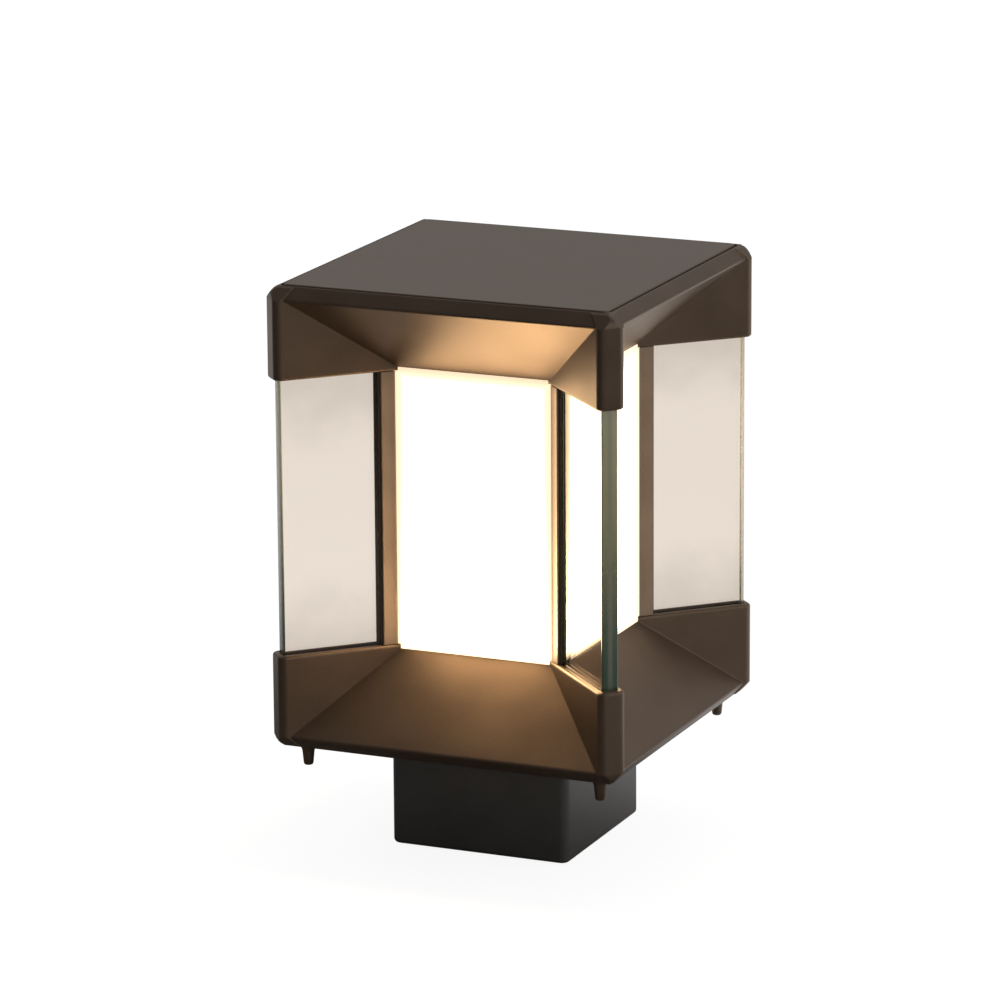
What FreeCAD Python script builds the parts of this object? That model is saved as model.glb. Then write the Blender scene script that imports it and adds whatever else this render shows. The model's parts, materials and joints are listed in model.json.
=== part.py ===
import FreeCAD, Part
import os
from math import cos, hypot, radians, sin, sqrt

# A square lantern-head path light on a short square stem, in millimetres with +Z up.
# The origin is the middle of the stem's foot. The front faces -Y and the right side +X.
# Corner pieces are drawn along +X and turned onto the diagonals. Side pieces are drawn
# facing +X and turned onto the four sides. Pieces of the cap and the base are drawn on the
# end of the core, at z = 0 with the plate above, and then placed on the cap or, turned
# over, on the base.

# Overall form
BODY_WIDTH = 200.0           # cap and base across their rims
END_HEIGHT = 49.2            # height of the cap and of the base
CORE_WIDTH = 109.4           # lit core across two opposite diffusers
CORE_HEIGHT = 156.0          # lit core between the base and the cap
STEM_WIDTH = 104.0
STEM_HEIGHT = 63.0           # stem below the base

# Cap and base castings
CASTING_WALL = 3.0
CAP_BEVEL_DROP = 7.7         # height of the bevel round the cover
BASE_BEVEL_DROP = 6.4
RIM_EDGE_R = 1.2             # broken edge between the panels and the bevel
PLATE_CORNER_R = 3.0         # plan radius of the plates' corners
PLATE_LEDGE = 4.0            # width of the ledge that carries a plate
LEAD_HOLE_R = 14.0           # hole in the castings' floors for the leads

# Fins and their draft
FIN_THICKNESS = 15.2
FIN_EDGE_R = 4.0             # round upright edges of the outer end
FIN_SET = 2.8                # outer end of the fin inside the rim's square corner
RIM_CORNER_SET = 0.6         # cut corner of the rim inside the fin's outer end
FIN_DROP = 2.3               # free edge beyond the end of the core
FIN_FREE_R = 1.6             # broken edge round the free edge
FIN_ROLL_END = 5.0           # outer end of the fin drawn in where its top rolls over the bevel
FIN_ROLL_CLEAR = 0.5         # end of the roll from the rim's lip
FIN_CROWN_DROP = 1.0         # sloping sides of the fin's top begin below the bevel
FIN_CROWN_OUT = 0.6          # and outside the fin
FIN_CROWN_PROUD = 0.8        # and end outside the bevel
FIN_FREE_TURNS = (0, 30, 60, 90)
FIN_ROLL_TURNS = (0, 26, 48, 66, 80)

# Top cover
COVER_BORDER = 7.0           # edge of the cover from the rim
COVER_THICKNESS = 4.0
COVER_SEAM = 1.4             # dark gap round the cover
COVER_LIP = 0.4              # top of the cap's rim beside the seam
COVER_PROUD = 0.7            # top of the cover over the cap's rim
COVER_REST = 0.3             # gap between the cover and its gasket
COVER_EDGE = 0.5             # broken edge of the cover
GASKET_THICKNESS = 1.5       # flat gaskets under both plates
GASKET_INSET = 0.4           # gasket from the edges of its ledge
CLIP_WIDTH = 14.0
CLIP_LENGTH = 9.0
CLIP_TAB = 12.0
CLIP_SHEET = 0.8
CLIP_CLEAR = 0.5             # clip from the wall of the cap's opening
RIVET_R = 1.6
RIVET_HEAD_R = 2.8
RIVET_HEAD = 1.2
RIVET_GRIP = 2.0             # rivet in the cover

# Bottom plate and feet
BOTTOM_BORDER = 9.0          # edge of the bottom plate from the rim
BOTTOM_THICKNESS = 4.0
BOTTOM_SEAM = 0.5
BASE_LIP = 3.5               # foot of the base's rim beside the bottom plate
FOOT_INSET = 18.0            # foot from the outer end of the fin
FOOT_HEIGHT = 12.4
FOOT_ROOT_R = 4.5
FOOT_NECK_R = 3.4
FOOT_TIP_R = 2.6
FOOT_FLARE = 4.0             # height of the flared root
FOOT_STUD_R = 2.0
FOOT_STUD_GRIP = 10.0        # stud in the base casting

# Diffusers and posts
PANEL_THICKNESS = 3.0
PANEL_GRIP = 3.3             # panel edge inside the post's groove
PANEL_CLEAR = 0.3
SEAL_THICKNESS = 1.5
SEAL_WIDTH = 2.0
SEAL_END = 8.0               # seal shorter than its panel at each end
POST_THICKNESS = 14.0
POST_REACH = 1.5             # post beyond the corner of the core
POST_SCREW_INSET = 8.2       # screw from the inner faces of the diffusers
POST_INNER = 8.0             # post inwards of its screws

# Glass panes, their gaskets and pads
GLASS_THICKNESS = 9.0
GLASS_INSET = 3.8            # outer edge from the outer end of the fin
GLASS_SEAT = 5.0             # pane inside each fin's slot
GLASS_CLEAR = 0.3
GLASS_ARRIS = 0.6            # ground edges of the pane
EDGE_GASKET_WALL = 1.3
EDGE_GASKET_DEPTH = 4.5      # gasket inside the post
EDGE_GASKET_SHOW = 1.2       # gasket outside the post
PAD_THICKNESS = 1.0
PAD_LENGTH = 14.0
SLOT_BACK = 4.0              # metal behind the inner end of the slot

# Stem and its fixings
STEM_WALL = 3.5
STEM_HEAD = 6.0              # thickness of the plate welded into the stem's head
STEM_HEAD_CLEAR = 0.2        # head plate from the stem's walls
STEM_CORNER_R = 5.0
STEM_INNER_R = 2.0           # radius inside the stem's corners
STEM_BOLT_SPACING = 64.0
STEM_BOLT_R = 3.0
STEM_BOLT_HEAD_FLATS = 10.0
STEM_BOLT_HEAD = 4.0
STEM_NUT = 5.0
STEM_BOLT_END = 1.5          # thread beyond the nut
MOUNT_PLATE = 5.0
MOUNT_CLEAR = 0.4            # mounting plate from the stem's walls
MOUNT_TAB = 26.0             # height of the tabs' upper ends
MOUNT_TAB_WIDTH = 44.0
MOUNT_TAB_SHEET = 4.0
MOUNT_SPACING = 60.0
MOUNT_HOLE_R = 3.5
MOUNT_ENTRY_R = 15.0
SIDE_SCREW_SPACING = 28.0
SIDE_SCREW_HEIGHT = 18.0
SIDE_SCREW_R = 2.5
SIDE_SCREW_HEAD_R = 4.5
SIDE_SCREW_HEAD = 2.5

# Cable gland
GLAND_THREAD_R = 10.0
GLAND_BORE_R = 6.0
GLAND_FLATS = 24.0
GLAND_FLANGE = 5.0
GLAND_NUT_R = 11.5
GLAND_NUT = 12.0
GLAND_NUT_EDGE = 3.0         # sloping mouth of the dome nut
GLAND_LOCKNUT = 6.0
GLAND_THREAD_END = 2.0

# Light source
COLUMN_WIDTH = 60.0
COLUMN_WALL = 4.0
COLUMN_PORT = 9.0            # square screw ports in the column's corners
BOARD_WIDTH = 48.0
BOARD_HEIGHT = 146.0
BOARD_THICKNESS = 1.6
BOARD_SCREW_END = 6.0        # board screw from the board's end
LED_SIZE = 3.5
LED_HEIGHT = 0.9
LED_ROWS = 8
LED_PITCH_X = 22.0
LED_PITCH_Z = 16.0

# Control gear in the cap
PILLAR_FLATS = 7.0
PILLAR_HEIGHT = 12.0
PILLAR_STUD_R = 1.9
PILLAR_X = 30.0
PILLAR_Y = 48.0
TRAY_WIDTH = 116.0
TRAY_THICKNESS = 2.0
TRAY_CLEAR = 2.0             # tray's cut corners from the metal behind the slots
DRIVER_LENGTH = 92.0
DRIVER_WIDTH = 40.0
DRIVER_HEIGHT = 22.0
DRIVER_EDGE = 2.0
DRIVER_EAR = 8.0
DRIVER_EAR_SHEET = 3.0
DRIVER_OFFSET = 24.0         # middle of the driver behind the axis
TERMINAL_LENGTH = 36.0
TERMINAL_WIDTH = 16.0
TERMINAL_HEIGHT = 18.0
TERMINAL_OFFSET = 25.0       # middle of the terminal block in front of the axis
TERMINAL_POLES = 3
TERMINAL_PITCH = 11.0
TERMINAL_WELL_R = 2.6
TERMINAL_WELL = 7.0
EARTH_X = 40.0
SUPPLY_LEAD_R = 3.5
SUPPLY_LEAD_BEND = 11.0
LED_LEAD_R = 2.0
LED_LEAD_BEND = 8.0
LED_LEAD_X = 9.0
LED_LEAD_DROP = 80.0         # LED lead below the top of the column

# Screws: thread radius, head radius, head height and grip
THREAD_CLEAR = 0.15          # tapped hole over its screw
HOLE_CLEAR = 0.4             # clearance hole over its screw
M5_R = 2.5
M5_HEAD_R = 4.25
M5_HEAD = 5.0
M5_GRIP = 12.0
M4_R = 2.0
M4_HEAD_R = 3.5
M4_HEAD = 2.6
M4_GRIP = 9.0
M3_R = 1.5
M3_HEAD_R = 2.75
M3_HEAD = 2.0
M3_GRIP = 3.0

# Worked out from the sizes above
SIDES = {"right": 0, "back": 90, "left": 180, "front": 270}
CORNERS = {"back_right": 45, "back_left": 135, "front_left": 225, "front_right": 315}
RIM_HALF = BODY_WIDTH / 2
CORE_HALF = CORE_WIDTH / 2
STEM_HALF = STEM_WIDTH / 2
BASE_TOP = STEM_HEIGHT + END_HEIGHT
CAP_FLOOR = BASE_TOP + CORE_HEIGHT
FIN_REACH = sqrt(2) * RIM_HALF - FIN_SET
FIN_HALF = FIN_THICKNESS / 2
FIN_SPAN = sqrt(0.5) * (FIN_REACH + FIN_HALF - 2 * FIN_EDGE_R) + FIN_EDGE_R
POST_HALF = POST_THICKNESS / 2
COVER_HALF = RIM_HALF - COVER_BORDER
COVER_UNDERSIDE = END_HEIGHT - COVER_THICKNESS
COVER_LEDGE = COVER_UNDERSIDE - COVER_REST - GASKET_THICKNESS
COVER_OPENING = COVER_HALF - PLATE_LEDGE
BOTTOM_HALF = RIM_HALF - BOTTOM_BORDER
BOTTOM_LEDGE = END_HEIGHT - BOTTOM_THICKNESS - GASKET_THICKNESS
BOTTOM_OPENING = BOTTOM_HALF - PLATE_LEDGE
FOOT_RADIUS = FIN_REACH - FOOT_INSET
PANEL_INNER = CORE_HALF - PANEL_THICKNESS
PANEL_HALF = CORE_HALF - sqrt(2) * POST_HALF + PANEL_GRIP
POST_OUT = sqrt(2) * CORE_HALF + POST_REACH
POST_SCREW = sqrt(2) * PANEL_INNER - POST_SCREW_INSET
POST_IN = POST_SCREW - POST_INNER
POST_HEIGHT = CORE_HEIGHT - 2 * FIN_DROP
GLASS_HALF = GLASS_THICKNESS / 2
EDGE_GASKET_HALF = GLASS_HALF + EDGE_GASKET_WALL
EDGE_GASKET_IN = POST_OUT - EDGE_GASKET_DEPTH
GLASS_IN = EDGE_GASKET_IN + EDGE_GASKET_WALL
GLASS_OUT = FIN_REACH - GLASS_INSET
SLOT_TOP = GLASS_SEAT + PAD_THICKNESS - FIN_DROP
COLUMN_HALF = COLUMN_WIDTH / 2
COLUMN_SCREW = COLUMN_HALF - COLUMN_WALL - COLUMN_PORT / 2
BOARD_FACE = COLUMN_HALF + BOARD_THICKNESS
TRAY_Z = CASTING_WALL + PILLAR_HEIGHT
TRAY_TOP = TRAY_Z + TRAY_THICKNESS
TRAY_HALF = TRAY_WIDTH / 2
GLAND_END = STEM_HEIGHT + BOTTOM_THICKNESS + GLAND_LOCKNUT + GLAND_THREAD_END

V = FreeCAD.Vector
Z_AXIS = V(0, 0, 1)
nodes = {}


def box(x0, x1, y0, y1, z0, z1):
    return Part.makeBox(x1 - x0, y1 - y0, z1 - z0, V(x0, y0, z0))


def cylinder(radius, z0, z1, x=0, y=0):
    return Part.makeCylinder(radius, z1 - z0, V(x, y, z0))


def turned(shape, angle):
    copy = shape.copy()
    copy.rotate(V(0, 0, 0), Z_AXIS, angle)
    return copy


def moved(shape, x=0, y=0, z=0):
    copy = shape.copy()
    copy.translate(V(x, y, z))
    return copy


def on_cap(shape):
    return moved(shape, z=CAP_FLOOR)


def on_base(shape):
    copy = shape.copy()
    copy.rotate(V(0, 0, 0), V(1, 0, 0), 180)
    return moved(copy, z=BASE_TOP)


def group(shapes):
    return Part.makeCompound(shapes)


def at_corners(shape):
    return [turned(shape, angle) for angle in CORNERS.values()]


def on_sides(shape):
    return [turned(shape, angle) for angle in SIDES.values()]


def rounded_square(half, radius, z):
    """Outline of a square with round corners at height z."""
    straight = half - radius
    middle = straight + radius * sqrt(0.5)
    side = Part.LineSegment(V(half, -straight, z), V(half, straight, z)).toShape()
    corner = Part.Arc(V(half, straight, z), V(middle, middle, z), V(straight, half, z)).toShape()
    edges = []
    for angle in SIDES.values():
        edges.append(turned(side, angle))
        edges.append(turned(corner, angle))
    return Part.Wire(edges)


def rounded_block(half, radius, z0, z1):
    return Part.Face(rounded_square(half, radius, z0)).extrude(V(0, 0, z1 - z0))


def square_corners(half, z):
    return [V(half, half, z), V(-half, half, z), V(-half, -half, z), V(half, -half, z)]


def edges_between(shape, z0, z1):
    """Edges of a shape that lie wholly between two heights."""
    slack = 0.001
    return [edge for edge in shape.Edges
            if edge.BoundBox.ZMin > z0 - slack and edge.BoundBox.ZMax < z1 + slack]


def frustum(half0, z0, half1, z1):
    """Square-ended solid with four flat sloping sides."""
    low = square_corners(half0, z0)
    high = square_corners(half1, z1)
    loops = [low, high]
    for first in range(4):
        second = (first + 1) % 4
        loops.append([low[first], low[second], high[second], high[first]])
    faces = [Part.Face(Part.makePolygon(loop + loop[:1])) for loop in loops]
    return Part.Solid(Part.Shell(faces))


def square_block(half, z0, z1):
    return box(-half, half, -half, half, z0, z1)


def hexagon(flats, z0, z1):
    radius = flats / 2 / cos(radians(30))
    start = V(radius, 0, z0)
    turns = [FreeCAD.Rotation(Z_AXIS, 60 * step) for step in range(7)]
    outline = Part.makePolygon([turn.multVec(start) for turn in turns])
    return Part.Face(outline).extrude(V(0, 0, z1 - z0))


def screw(radius, head_radius, head, length):
    """Screw pointing down, with its head standing on z = 0."""
    return cylinder(head_radius, 0, head).fuse(cylinder(radius, -length, 0)).removeSplitter()


def tube(points, bend, radius):
    """Round lead along two straight runs joined by one arc of radius bend."""
    start, corner, end = points
    into = (corner - start).normalize()
    out = (end - corner).normalize()
    first = corner - into * bend
    last = corner + out * bend
    centre = first + out * bend
    middle = centre + (corner - centre).normalize() * bend
    path = Part.Wire([
        Part.LineSegment(start, first).toShape(),
        Part.Arc(first, middle, last).toShape(),
        Part.LineSegment(last, end).toShape(),
    ])
    section = Part.Wire(Part.makeCircle(radius, start, into))
    return path.makePipeShell([section], True, False)


def fin_outline(side_lost, end_lost, z):
    """Plan of one fin: square inner end on the post, flat outer end with round edges."""
    half = FIN_HALF - side_lost
    reach = FIN_REACH - end_lost
    edge_r = FIN_EDGE_R * half / FIN_HALF
    side = half - edge_r
    end = reach - edge_r
    lean = edge_r * sqrt(0.5)
    inner = [V(end, half, z), V(POST_IN, half, z), V(POST_IN, -half, z), V(end, -half, z)]
    edges = [Part.LineSegment(a, b).toShape() for a, b in zip(inner, inner[1:])]
    edges.append(Part.Arc(inner[3], V(end + lean, -side - lean, z), V(reach, -side, z)).toShape())
    edges.append(Part.LineSegment(V(reach, -side, z), V(reach, side, z)).toShape())
    edges.append(Part.Arc(V(reach, side, z), V(end + lean, side + lean, z), inner[0]).toShape())
    return Part.Wire(edges)


def fins(rim_z, lip_z, bevel_half):
    """Four fins: round free edge, upright to the rim, then rolled inwards between slopes like the bevel's."""
    outlines = []
    for turn in FIN_FREE_TURNS:
        lost = FIN_FREE_R * (1 - sin(radians(turn)))
        z = FIN_FREE_R * (1 - cos(radians(turn))) - FIN_DROP
        outlines.append(fin_outline(lost, lost, z))
    rise = lip_z - rim_z - FIN_ROLL_CLEAR
    for turn in FIN_ROLL_TURNS:
        drawn_in = FIN_ROLL_END * (1 - cos(radians(turn)))
        outlines.append(fin_outline(0, drawn_in, rim_z + rise * sin(radians(turn))))
    blade = Part.makeLoft(outlines, True, True)
    crown_z = rim_z - FIN_CROWN_DROP
    above = square_block(2 * RIM_HALF, crown_z, END_HEIGHT)
    above = above.cut(frustum(FIN_SPAN + FIN_CROWN_OUT, crown_z, bevel_half + FIN_CROWN_PROUD, lip_z))
    return [one.cut(above) for one in at_corners(blade)]


def casting(rim_z, lip_z, bevel_half, plate_half, seam, ledge, opening):
    """Hollow end of the lantern: sloping panels, bevelled rim, four fins with glass slots."""
    run = RIM_HALF - CORE_HALF
    panels = frustum(CORE_HALF, 0, RIM_HALF, rim_z)
    shell = panels.fuse(frustum(RIM_HALF, rim_z, bevel_half, lip_z))
    beyond = box(FIN_REACH - RIM_CORNER_SET, 2 * RIM_HALF, -RIM_HALF, RIM_HALF, 0, END_HEIGHT)
    shell = shell.cut(at_corners(beyond)).removeSplitter()
    rim_edges = [edge for edge in edges_between(shell, rim_z, rim_z) if edge.Length > RIM_HALF]
    shell = shell.makeFillet(RIM_EDGE_R, rim_edges)

    body = shell.fuse(fins(rim_z, lip_z, bevel_half))

    # The hollow follows the panels one wall inside them and narrows to the plate's ledge.
    wall_across = CASTING_WALL * hypot(run, rim_z) / rim_z
    floor_half = CORE_HALF + CASTING_WALL * run / rim_z - wall_across
    neck_z = (opening - CORE_HALF + wall_across) * rim_z / run
    hollow = frustum(floor_half, CASTING_WALL, opening, neck_z)
    hollow = hollow.fuse(square_block(opening, neck_z, END_HEIGHT))
    backing = box(GLASS_IN - SLOT_BACK, 2 * RIM_HALF, -FIN_HALF, FIN_HALF, 0, END_HEIGHT)
    hollow = hollow.cut(group(at_corners(backing)))
    recess = rounded_block(plate_half + seam, PLATE_CORNER_R + seam, ledge, END_HEIGHT)

    slot_half = GLASS_HALF + GLASS_CLEAR
    slot_in = GLASS_IN - GLASS_CLEAR
    slot_out = GLASS_OUT + GLASS_CLEAR
    slot = box(slot_in, slot_out, -slot_half, slot_half, -FIN_DROP, SLOT_TOP)
    post_hole = cylinder(M5_R + HOLE_CLEAR, -FIN_DROP, CASTING_WALL, x=POST_SCREW)
    column_hole = cylinder(M4_R + HOLE_CLEAR, 0, CASTING_WALL, x=sqrt(2) * COLUMN_SCREW)
    cuts = [hollow, recess, cylinder(LEAD_HOLE_R, 0, CASTING_WALL)]
    for cut in (slot, post_hole, column_hole):
        cuts += at_corners(cut)
    cuts += on_sides(diffuser_seal())
    return body.cut(cuts).removeSplitter()


def diffuser_seal():
    """Strip of soft seal over the end of one diffuser, let into the casting's floor."""
    middle = CORE_HALF - PANEL_THICKNESS / 2
    half = PANEL_HALF - SEAL_END
    return box(middle - SEAL_WIDTH / 2, middle + SEAL_WIDTH / 2, -half, half, 0, SEAL_THICKNESS)


def plate_gasket(plate_half, opening, ledge):
    ring = rounded_block(plate_half - GASKET_INSET, PLATE_CORNER_R, ledge, ledge + GASKET_THICKNESS)
    return ring.cut(square_block(opening + GASKET_INSET, ledge, ledge + GASKET_THICKNESS))


def cap():
    bevel_half = COVER_HALF + COVER_SEAM + COVER_LIP
    rim_z = END_HEIGHT - CAP_BEVEL_DROP
    lip_z = END_HEIGHT - COVER_PROUD
    shell = casting(rim_z, lip_z, bevel_half, COVER_HALF, COVER_SEAM, COVER_LEDGE, COVER_OPENING)
    pillar_hole = cylinder(PILLAR_STUD_R + THREAD_CLEAR, 0, CASTING_WALL)
    nodes["cap_casting"] = on_cap(shell.cut(at_pillars(pillar_hole)))
    nodes["cover_gasket"] = on_cap(plate_gasket(COVER_HALF, COVER_OPENING, COVER_LEDGE))


def top_cover():
    plate = rounded_block(COVER_HALF, PLATE_CORNER_R, COVER_UNDERSIDE, END_HEIGHT)
    plate = plate.makeChamfer(COVER_EDGE, edges_between(plate, END_HEIGHT, END_HEIGHT))
    leg_face = COVER_OPENING - CLIP_CLEAR
    half = CLIP_WIDTH / 2
    head_z = COVER_UNDERSIDE - CLIP_SHEET
    leg_z = COVER_UNDERSIDE - CLIP_LENGTH
    tab = box(leg_face - CLIP_TAB, leg_face, -half, half, head_z, COVER_UNDERSIDE)
    leg = box(leg_face - CLIP_SHEET, leg_face, -half, half, leg_z, COVER_UNDERSIDE)
    rivet_x = leg_face - CLIP_TAB / 2
    rivet_end = COVER_UNDERSIDE + RIVET_GRIP
    hole = cylinder(RIVET_R + THREAD_CLEAR, head_z, rivet_end, x=rivet_x)
    clip = tab.fuse(leg).cut(hole).removeSplitter()
    shank = cylinder(RIVET_R, head_z, rivet_end, x=rivet_x)
    rivet = shank.fuse(cylinder(RIVET_HEAD_R, head_z - RIVET_HEAD, head_z, x=rivet_x)).removeSplitter()
    nodes["top_cover"] = on_cap(plate.cut(on_sides(hole)))
    nodes["cover_clips"] = on_cap(group(on_sides(clip)))
    nodes["clip_rivets"] = on_cap(group(on_sides(rivet)))


def base():
    bevel_half = BOTTOM_HALF + BOTTOM_SEAM + BASE_LIP
    rim_z = END_HEIGHT - BASE_BEVEL_DROP
    shell = casting(rim_z, END_HEIGHT, bevel_half, BOTTOM_HALF, BOTTOM_SEAM, BOTTOM_LEDGE, BOTTOM_OPENING)
    stud_z = BOTTOM_LEDGE - FOOT_STUD_GRIP
    stud_holes = at_corners(cylinder(FOOT_STUD_R + THREAD_CLEAR, stud_z, END_HEIGHT, x=FOOT_RADIUS))
    gasket = plate_gasket(BOTTOM_HALF, BOTTOM_OPENING, BOTTOM_LEDGE)
    plate_z = END_HEIGHT - BOTTOM_THICKNESS
    plate = rounded_block(BOTTOM_HALF, PLATE_CORNER_R, plate_z, END_HEIGHT)
    through = cylinder(FOOT_STUD_R + HOLE_CLEAR, plate_z, END_HEIGHT, x=FOOT_RADIUS)
    bolts = at_stem_bolts(cylinder(STEM_BOLT_R + HOLE_CLEAR, plate_z, END_HEIGHT))
    gland = cylinder(GLAND_THREAD_R + HOLE_CLEAR, plate_z, END_HEIGHT)
    nodes["base_casting"] = on_base(shell.cut(stud_holes))
    nodes["bottom_gasket"] = on_base(gasket.cut(stud_holes))
    nodes["bottom_plate"] = on_base(plate.cut(at_corners(through) + bolts + [gland]))


def corner_feet():
    """Tapered foot with a flared root and a round tip, on a stud that holds the bottom plate."""
    tip_z = END_HEIGHT + FOOT_HEIGHT
    dome_z = tip_z - FOOT_TIP_R
    shoulder_z = END_HEIGHT + FOOT_FLARE
    stud_z = BOTTOM_LEDGE - FOOT_STUD_GRIP
    lean = sqrt(0.5) * FOOT_TIP_R
    points = [V(0, 0, stud_z), V(FOOT_STUD_R, 0, stud_z), V(FOOT_STUD_R, 0, END_HEIGHT),
              V(FOOT_ROOT_R, 0, END_HEIGHT), V(FOOT_NECK_R, 0, shoulder_z), V(FOOT_TIP_R, 0, dome_z)]
    edges = [Part.LineSegment(a, b).toShape() for a, b in zip(points, points[1:])]
    edges.append(Part.Arc(points[-1], V(lean, 0, dome_z + lean), V(0, 0, tip_z)).toShape())
    edges.append(Part.LineSegment(V(0, 0, tip_z), points[0]).toShape())
    foot = Part.Face(Part.Wire(edges)).revolve(V(0, 0, 0), Z_AXIS, 360)
    nodes["corner_feet"] = on_base(group(at_corners(moved(foot, x=FOOT_RADIUS))))


def corner_posts():
    """Diagonal bar with a slot for the glass gasket and a groove for each diffuser beside it."""
    z0 = BASE_TOP + FIN_DROP
    z1 = z0 + POST_HEIGHT
    bar = box(POST_IN, POST_OUT, -POST_HALF, POST_HALF, z0, z1)
    bar = bar.cut(box(EDGE_GASKET_IN, POST_OUT, -EDGE_GASKET_HALF, EDGE_GASKET_HALF, z0, z1))
    port_r = M5_R + THREAD_CLEAR
    grip = M5_GRIP + 2 * THREAD_CLEAR
    lower_port = cylinder(port_r, z0, z0 + grip, x=POST_SCREW)
    upper_port = cylinder(port_r, z1 - grip, z1, x=POST_SCREW)
    bar = bar.cut([lower_port, upper_port])
    reach = PANEL_HALF + PANEL_CLEAR
    groove = box(PANEL_INNER - PANEL_CLEAR, CORE_HALF + PANEL_CLEAR, -reach, reach, z0, z1)
    post = turned(bar, CORNERS["back_right"]).cut([groove, turned(groove, SIDES["back"])])
    for corner, angle in CORNERS.items():
        nodes["corner_post_" + corner] = turned(post, angle - CORNERS["back_right"])


def diffusers():
    """Opal panel held in the posts' grooves, with its corners cut clear of the fins' free edges."""
    panel = box(PANEL_INNER, CORE_HALF, -PANEL_HALF, PANEL_HALF, BASE_TOP, CAP_FLOOR)
    half = FIN_HALF + PANEL_CLEAR
    z0 = BASE_TOP + FIN_DROP + PANEL_CLEAR
    z1 = CAP_FLOOR - FIN_DROP - PANEL_CLEAR
    ends = [box(0, POST_OUT, -half, half, BASE_TOP, z0), box(0, POST_OUT, -half, half, z1, CAP_FLOOR)]
    panel = panel.cut([turned(end, side * CORNERS["back_right"]) for end in ends for side in (-1, 1)])
    for side, angle in SIDES.items():
        nodes["diffuser_" + side] = turned(panel, angle)
    seals = on_sides(diffuser_seal())
    nodes["upper_diffuser_seals"] = on_cap(group(seals))
    nodes["lower_diffuser_seals"] = on_base(group(seals))


def glass_panes():
    z0 = BASE_TOP + FIN_DROP - GLASS_SEAT
    z1 = CAP_FLOOR - FIN_DROP + GLASS_SEAT
    pane = box(GLASS_IN, GLASS_OUT, -GLASS_HALF, GLASS_HALF, z0, z1)
    upright = [edge for edge in pane.Edges if edge.BoundBox.ZLength > GLASS_SEAT]
    pane = pane.makeChamfer(GLASS_ARRIS, upright)
    post_z0 = BASE_TOP + FIN_DROP
    post_z1 = post_z0 + POST_HEIGHT
    lip = POST_OUT + EDGE_GASKET_SHOW
    channel = box(EDGE_GASKET_IN, lip, -EDGE_GASKET_HALF, EDGE_GASKET_HALF, post_z0, post_z1)
    channel = channel.cut(box(GLASS_IN, lip, -GLASS_HALF, GLASS_HALF, post_z0, post_z1))
    for corner, angle in CORNERS.items():
        nodes["glass_pane_" + corner] = turned(pane, angle)
        nodes["glass_gasket_" + corner] = turned(channel, angle)
    pads = []
    pad_z = SLOT_TOP - PAD_THICKNESS
    for end in (GLASS_IN + PAD_LENGTH, GLASS_OUT):
        pads += at_corners(box(end - PAD_LENGTH, end, -GLASS_HALF, GLASS_HALF, pad_z, SLOT_TOP))
    nodes["glass_setting_pads"] = group([on_cap(pad) for pad in pads] + [on_base(pad) for pad in pads])


def end_screws():
    """Screws through the castings' floors into the posts and into the column's ports."""
    post_screw = screw(M5_R, M5_HEAD_R, M5_HEAD, CASTING_WALL + FIN_DROP + M5_GRIP)
    column_screw = screw(M4_R, M4_HEAD_R, M4_HEAD, CASTING_WALL + M4_GRIP)
    column_radius = sqrt(2) * COLUMN_SCREW
    rings = [("post_screws", post_screw, POST_SCREW), ("column_screws", column_screw, column_radius)]
    for name, piece, radius in rings:
        ring = at_corners(moved(piece, radius, 0, CASTING_WALL))
        nodes[name] = group([on_cap(one) for one in ring] + [on_base(one) for one in ring])


def light_source():
    """Square column with LED boards on its four sides and screw ports in its corners."""
    inner = COLUMN_HALF - COLUMN_WALL
    column = square_block(COLUMN_HALF, BASE_TOP, CAP_FLOOR)
    port = box(inner - COLUMN_PORT, inner, inner - COLUMN_PORT, inner, BASE_TOP, CAP_FLOOR)
    hollow = square_block(inner, BASE_TOP, CAP_FLOOR).cut(on_sides(port))
    grip = M4_GRIP + THREAD_CLEAR
    thread = cylinder(M4_R + THREAD_CLEAR, -grip, 0, x=sqrt(2) * COLUMN_SCREW)
    threads = [place(one) for one in at_corners(thread) for place in (on_cap, on_base)]

    middle = BASE_TOP + CORE_HEIGHT / 2
    board_z = BOARD_HEIGHT / 2
    half = BOARD_WIDTH / 2
    board = box(COLUMN_HALF, BOARD_FACE, -half, half, middle - board_z, middle + board_z)
    fixing = screw(M3_R, M3_HEAD_R, M3_HEAD, BOARD_THICKNESS + M3_GRIP)
    fixing.rotate(V(0, 0, 0), V(0, 1, 0), 90)
    tapped = cylinder(M3_R + THREAD_CLEAR, -BOARD_THICKNESS - COLUMN_WALL, 0)
    tapped.rotate(V(0, 0, 0), V(0, 1, 0), 90)
    levels = [middle - board_z + BOARD_SCREW_END, middle + board_z - BOARD_SCREW_END]
    holes = [moved(tapped, BOARD_FACE, 0, z) for z in levels]
    fixings = [moved(fixing, BOARD_FACE, 0, z) for z in levels]
    led_half = LED_SIZE / 2
    led = box(BOARD_FACE, BOARD_FACE + LED_HEIGHT, -led_half, led_half, -led_half, led_half)
    leds = []
    for row in range(LED_ROWS):
        z = middle + (row - (LED_ROWS - 1) / 2) * LED_PITCH_Z
        leds += [moved(led, 0, side * LED_PITCH_X / 2, z) for side in (-1, 1)]

    board = board.cut(holes)
    for side, angle in SIDES.items():
        nodes["led_board_" + side] = turned(board, angle)
    all_holes = [one for hole in holes for one in on_sides(hole)]
    nodes["led_column"] = column.cut([hollow] + threads + all_holes)
    nodes["led_packages"] = group([one for piece in leds for one in on_sides(piece)])
    nodes["board_screws"] = group([one for piece in fixings for one in on_sides(piece)])


def at_pillars(shape):
    return [moved(shape, x * PILLAR_X, y * PILLAR_Y) for x in (-1, 1) for y in (-1, 1)]


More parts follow.
